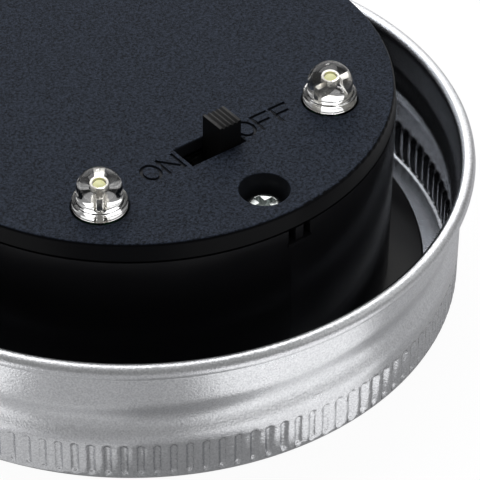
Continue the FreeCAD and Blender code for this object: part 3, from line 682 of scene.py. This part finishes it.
# %% [markdown]
# ## Thread and flutes
#
# One roll presses the thread into the wall and another the grip flutes, so a dent outside is a bump
# inside. A displacement texture could do that too. Here each roll is a function that says how deep it
# presses at a place, because then the thread's pitch and the flutes' number are plain values.

# %% Thread roll
thread_pitch = 6.35
thread_depth = 0.7
thread_height = 7.3
thread_start = math.radians(-178.2)
thread_turn = math.radians(288.0)
thread_half = 2.65
thread_half_inside = 2.0
full_turn = 2 * math.pi


def thread_press(azimuth, height, half):
    """Depth in millimetres to which the thread roll presses the wall at a place."""
    deepest = 0.0
    for lap in (0, 1):
        along = (azimuth - thread_start) % full_turn - lap * full_turn
        beyond = max(0.0, -along, along - thread_turn) * band_wall
        depth = thread_depth - beyond ** 2 / (2 * band_wall)
        across = (height - thread_height - thread_pitch * along / full_turn) / half
        if depth > 0 and abs(across) < 1:
            deepest = max(deepest, depth * (1 - across ** 2) ** 2)
    return deepest


print("thread of", thread_pitch, "mm pitch,", thread_depth, "mm deep")

# %% Flute roll
flute_count = 132
flute_half = 0.55
flute_depth = 0.42
flute_step = full_turn / flute_count


def flute_press(azimuth, height):
    """Depth in millimetres of the round-ended grip flutes at a place."""
    across = (azimuth - round(azimuth / flute_step) * flute_step) * band_wall / flute_half
    ends = max(0.0, flute_low + flute_half - height, height - flute_high + flute_half) / flute_half
    return flute_depth * max(0.0, 1 - across ** 2 - ends ** 2)


print(flute_count, "flutes,", flute_depth, "mm deep")

# %% [markdown]
# ## Pressing the band
#
# The spin makes even columns of points, seven for each flute. They are first shifted to stations that
# lie close together in the flute and leave the flat rib bare. Then both faces of the wall are pressed.
# Inside, the thread keeps the width that it has in CAD. Outside it is wider, as it looks in the picture.

# %% Spin and press the band
flute_stations = (0.0, 0.18, 0.37, 0.55, 1.15, 1.33, 1.52)
columns = len(flute_stations)
outer_face = (band_wall - sheet / 2) * mm

spin_outline(band, flute_count * columns)
for vert in band.verts:
    radius = math.hypot(vert.co.x, vert.co.y)
    height = vert.co.z / mm
    column = round(math.atan2(vert.co.y, vert.co.x) / flute_step * columns)
    flute, station = divmod(column, columns)
    azimuth = flute * flute_step + flute_stations[station] / band_wall
    if radius > corner[0] * mm and height < curl[1]:
        half = thread_half if radius > outer_face else thread_half_inside
        radius -= (thread_press(azimuth, height, half) + flute_press(azimuth, height)) * mm
    vert.co.xy = (radius * math.cos(azimuth), radius * math.sin(azimuth))
add_piece("rolled_band", band, "screw_band", sharp_angle=60.0)

# %% [markdown]
# ## Softer copies of CAD meshes
#
# Some solids already have the right shape and only lack soft edges. A CAD mesh is loose triangles, so a
# copy of it is merged first and its flat faces are made whole. Then the wanted edges are bevelled. A
# Bevel modifier would take all sharp edges or need weights, so the operator is used on chosen edges.

# %% Copy tools
flat_angle = math.radians(0.2)
crease_angle = math.radians(35.0)


def merged_copy(node):
    """Copy of a CAD node's mesh with its loose triangles joined and its flat faces made whole."""
    form = bmesh.new()
    form.from_mesh(nodes[node].data)
    bmesh.ops.remove_doubles(form, verts=form.verts, dist=weld)
    bmesh.ops.dissolve_limit(form, angle_limit=flat_angle, verts=form.verts, edges=form.edges)
    return form


def any_edge(edge):
    """True for every edge, for a piece that is bevelled all over."""
    return True


def round_edges(form, width, segments, wanted=any_edge):
    """Bevel the sharp edges for which wanted(edge) is true, by a width in millimetres."""
    edges = [edge for edge in form.edges
             if edge.is_manifold and edge.calc_face_angle() > crease_angle and wanted(edge)]
    bmesh.ops.bevel(form, geom=edges, offset=width * mm, offset_type="OFFSET", affect="EDGES",
                    segments=segments, profile=0.5, material=-1, clamp_overlap=True)
    bmesh.ops.dissolve_degenerate(form, dist=weld, edges=form.edges)
    print("rounded", len(edges), "edges by", width, "mm")


print("copy tools ready")

# %% [markdown]
# ## Cover
#
# The cover is a moulded disc. Its mould was cut with round tools, so no edge of a hole is really sharp:
# each catches a thin line of light. The shallow letters get a narrower bevel. The two kinds of edge are
# told apart by the height of the wall under them.

# %% Cover
hole_rounding = 0.16
letter_rounding = 0.07
lowest_hole_wall = 0.4 * mm


def wall_below(edge):
    """Height of the wall under an edge on the cover's top, and nothing for an edge elsewhere."""
    if any(vert.co.z < cover_top - weld for vert in edge.verts):
        return 0.0
    wall = max(edge.link_faces, key=lambda face: max(abs(face.normal.x), abs(face.normal.y)))
    heights = [vert.co.z for vert in wall.verts]
    return max(heights) - min(heights)


def is_hole_edge(edge):
    """Edge on the cover's top that belongs to a hole or to the rim, not to a letter."""
    return wall_below(edge) > lowest_hole_wall


def is_letter_edge(edge):
    """Edge on the cover's top that belongs to a letter."""
    return 0 < wall_below(edge) <= lowest_hole_wall


cover = merged_copy("cover")
round_edges(cover, hole_rounding, segments=3, wanted=is_hole_edge)
round_edges(cover, letter_rounding, segments=1, wanted=is_letter_edge)
add_piece("moulded_cover", cover, "cover", sharp_angle=35.0)

# %% [markdown]
# ## Housing cup
#
# The cup is one moulding with a flange at the foot of its wall. All of its edges could be bevelled, but
# most of them are hidden. Only the level edges far out are rounded: those of the flange, which are seen.

# %% Housing cup
cup_rounding = 0.3
outer_reach = 31.5 * mm


def is_outer_edge(edge):
    """Level edge far out on the flange, seen from outside."""
    near, far = edge.verts
    reach = min(math.hypot(vert.co.x, vert.co.y) for vert in edge.verts)
    return abs(near.co.z - far.co.z) < weld and reach > outer_reach


cup = merged_copy("housing")
round_edges(cup, cup_rounding, segments=3, wanted=is_outer_edge)
add_piece("polished_cup", cup, "housing", sharp_angle=35.0)

# %% [markdown]
# ## Lamp domes
#
# Each lamp is a clear dome cast around its leads, with a rim at its foot. The solid has a hollow for the
# leads, and its mesh could be used as it is, but thin gaps between resin and metal would shine in a
# render. The dome is therefore spun as one full body of resin, and the metal simply stands inside it.

# %% Lamp dome
dome_radius = 2.4
dome_fillet = 0.25
rim_height = 1.0
rim_rounding = 0.15
dome_steps = 60


def lamp_axis(side):
    """Point on the upright axis of a lamp."""
    low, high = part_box(side + "_lamp_lens")
    return (low + high) / 2


def cast_dome(side):
    """Dome of the left or right lamp, with its rim."""
    low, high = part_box(side + "_lamp_lens")
    base = low.z / mm
    top = high.z / mm
    shoulder = base + rim_height
    rim_radius = (high.x - low.x) / 2 / mm
    rim_flat = rim_radius - rim_rounding
    fillet = (dome_radius + dome_fillet, shoulder + dome_fillet)
    dome, pen = start_outline(0, base)
    pen = draw_line(dome, pen, rim_flat, base, steps=2)
    pen = draw_arc(dome, pen, (rim_flat, base + rim_rounding), 90, steps=3)
    pen = draw_line(dome, pen, rim_radius, shoulder - rim_rounding, steps=2)
    pen = draw_arc(dome, pen, (rim_flat, shoulder - rim_rounding), 90, steps=3)
    pen = draw_line(dome, pen, fillet[0], shoulder)
    pen = draw_arc(dome, pen, fillet, -90, steps=4)
    pen = draw_line(dome, pen, dome_radius, top - dome_radius, steps=3)
    draw_arc(dome, pen, (0, top - dome_radius), 90, steps=16)
    axis = lamp_axis(side)
    spin_outline(dome, dome_steps, axis.x, axis.y)
    add_piece(side + "_lamp_dome", dome, side + "_lamp_lens", sharp_angle=60.0)


print("domes of", dome_radius, "mm radius")

# %% [markdown]
# ## Phosphor gel
#
# A drop of yellow gel lies on the metal inside each lamp. It is a flat cap of a sphere, so its arc is
# worked out from the width and height that the solid has.

# %% Lamp gel, and both lamps
gel_steps = 36


def pour_gel(side):
    """Drop of phosphor gel in the left or right lamp."""
    low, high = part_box(side + "_lamp_phosphor")
    base = low.z / mm
    gel_radius = (high.x - low.x) / 2 / mm
    gel_height = (high.z - low.z) / mm
    crown = (gel_radius ** 2 + gel_height ** 2) / (2 * gel_height)
    spread = 2 * math.degrees(math.atan2(gel_height, gel_radius))
    gel, pen = start_outline(0, base)
    pen = draw_line(gel, pen, gel_radius, base, steps=2)
    draw_arc(gel, pen, (0, high.z / mm - crown), spread, steps=6)
    axis = lamp_axis(side)
    spin_outline(gel, gel_steps, axis.x, axis.y)
    add_piece(side + "_lamp_gel", gel, side + "_lamp_phosphor")


for side in ("left", "right"):
    cast_dome(side)
    pour_gel(side)

# %% [markdown]
# ## Switch knob
#
# The knob is a small moulded block with saw-tooth ridges for a fingernail. It could be modelled again, but
# the solid has its form already, and a narrow bevel on all of its edges makes the ridges catch light.

# %% Switch knob
knob_rounding = 0.06

knob = merged_copy("switch_knob")
round_edges(knob, knob_rounding, segments=2)
add_piece("ridged_knob", knob, "switch_knob")

# %% [markdown]
# ## Cover screws
#
# The screws are cold headed, so the edges of the head and of its cross recess are slightly round. A
# bump could fake that, but the recess is seen from close by, so its edges get a real, narrow bevel.

# %% Cover screws
recess_rounding = 0.05

screws = merged_copy("cover_screws")
round_edges(screws, recess_rounding, segments=2)
add_piece("headed_screws", screws, "cover_screws")
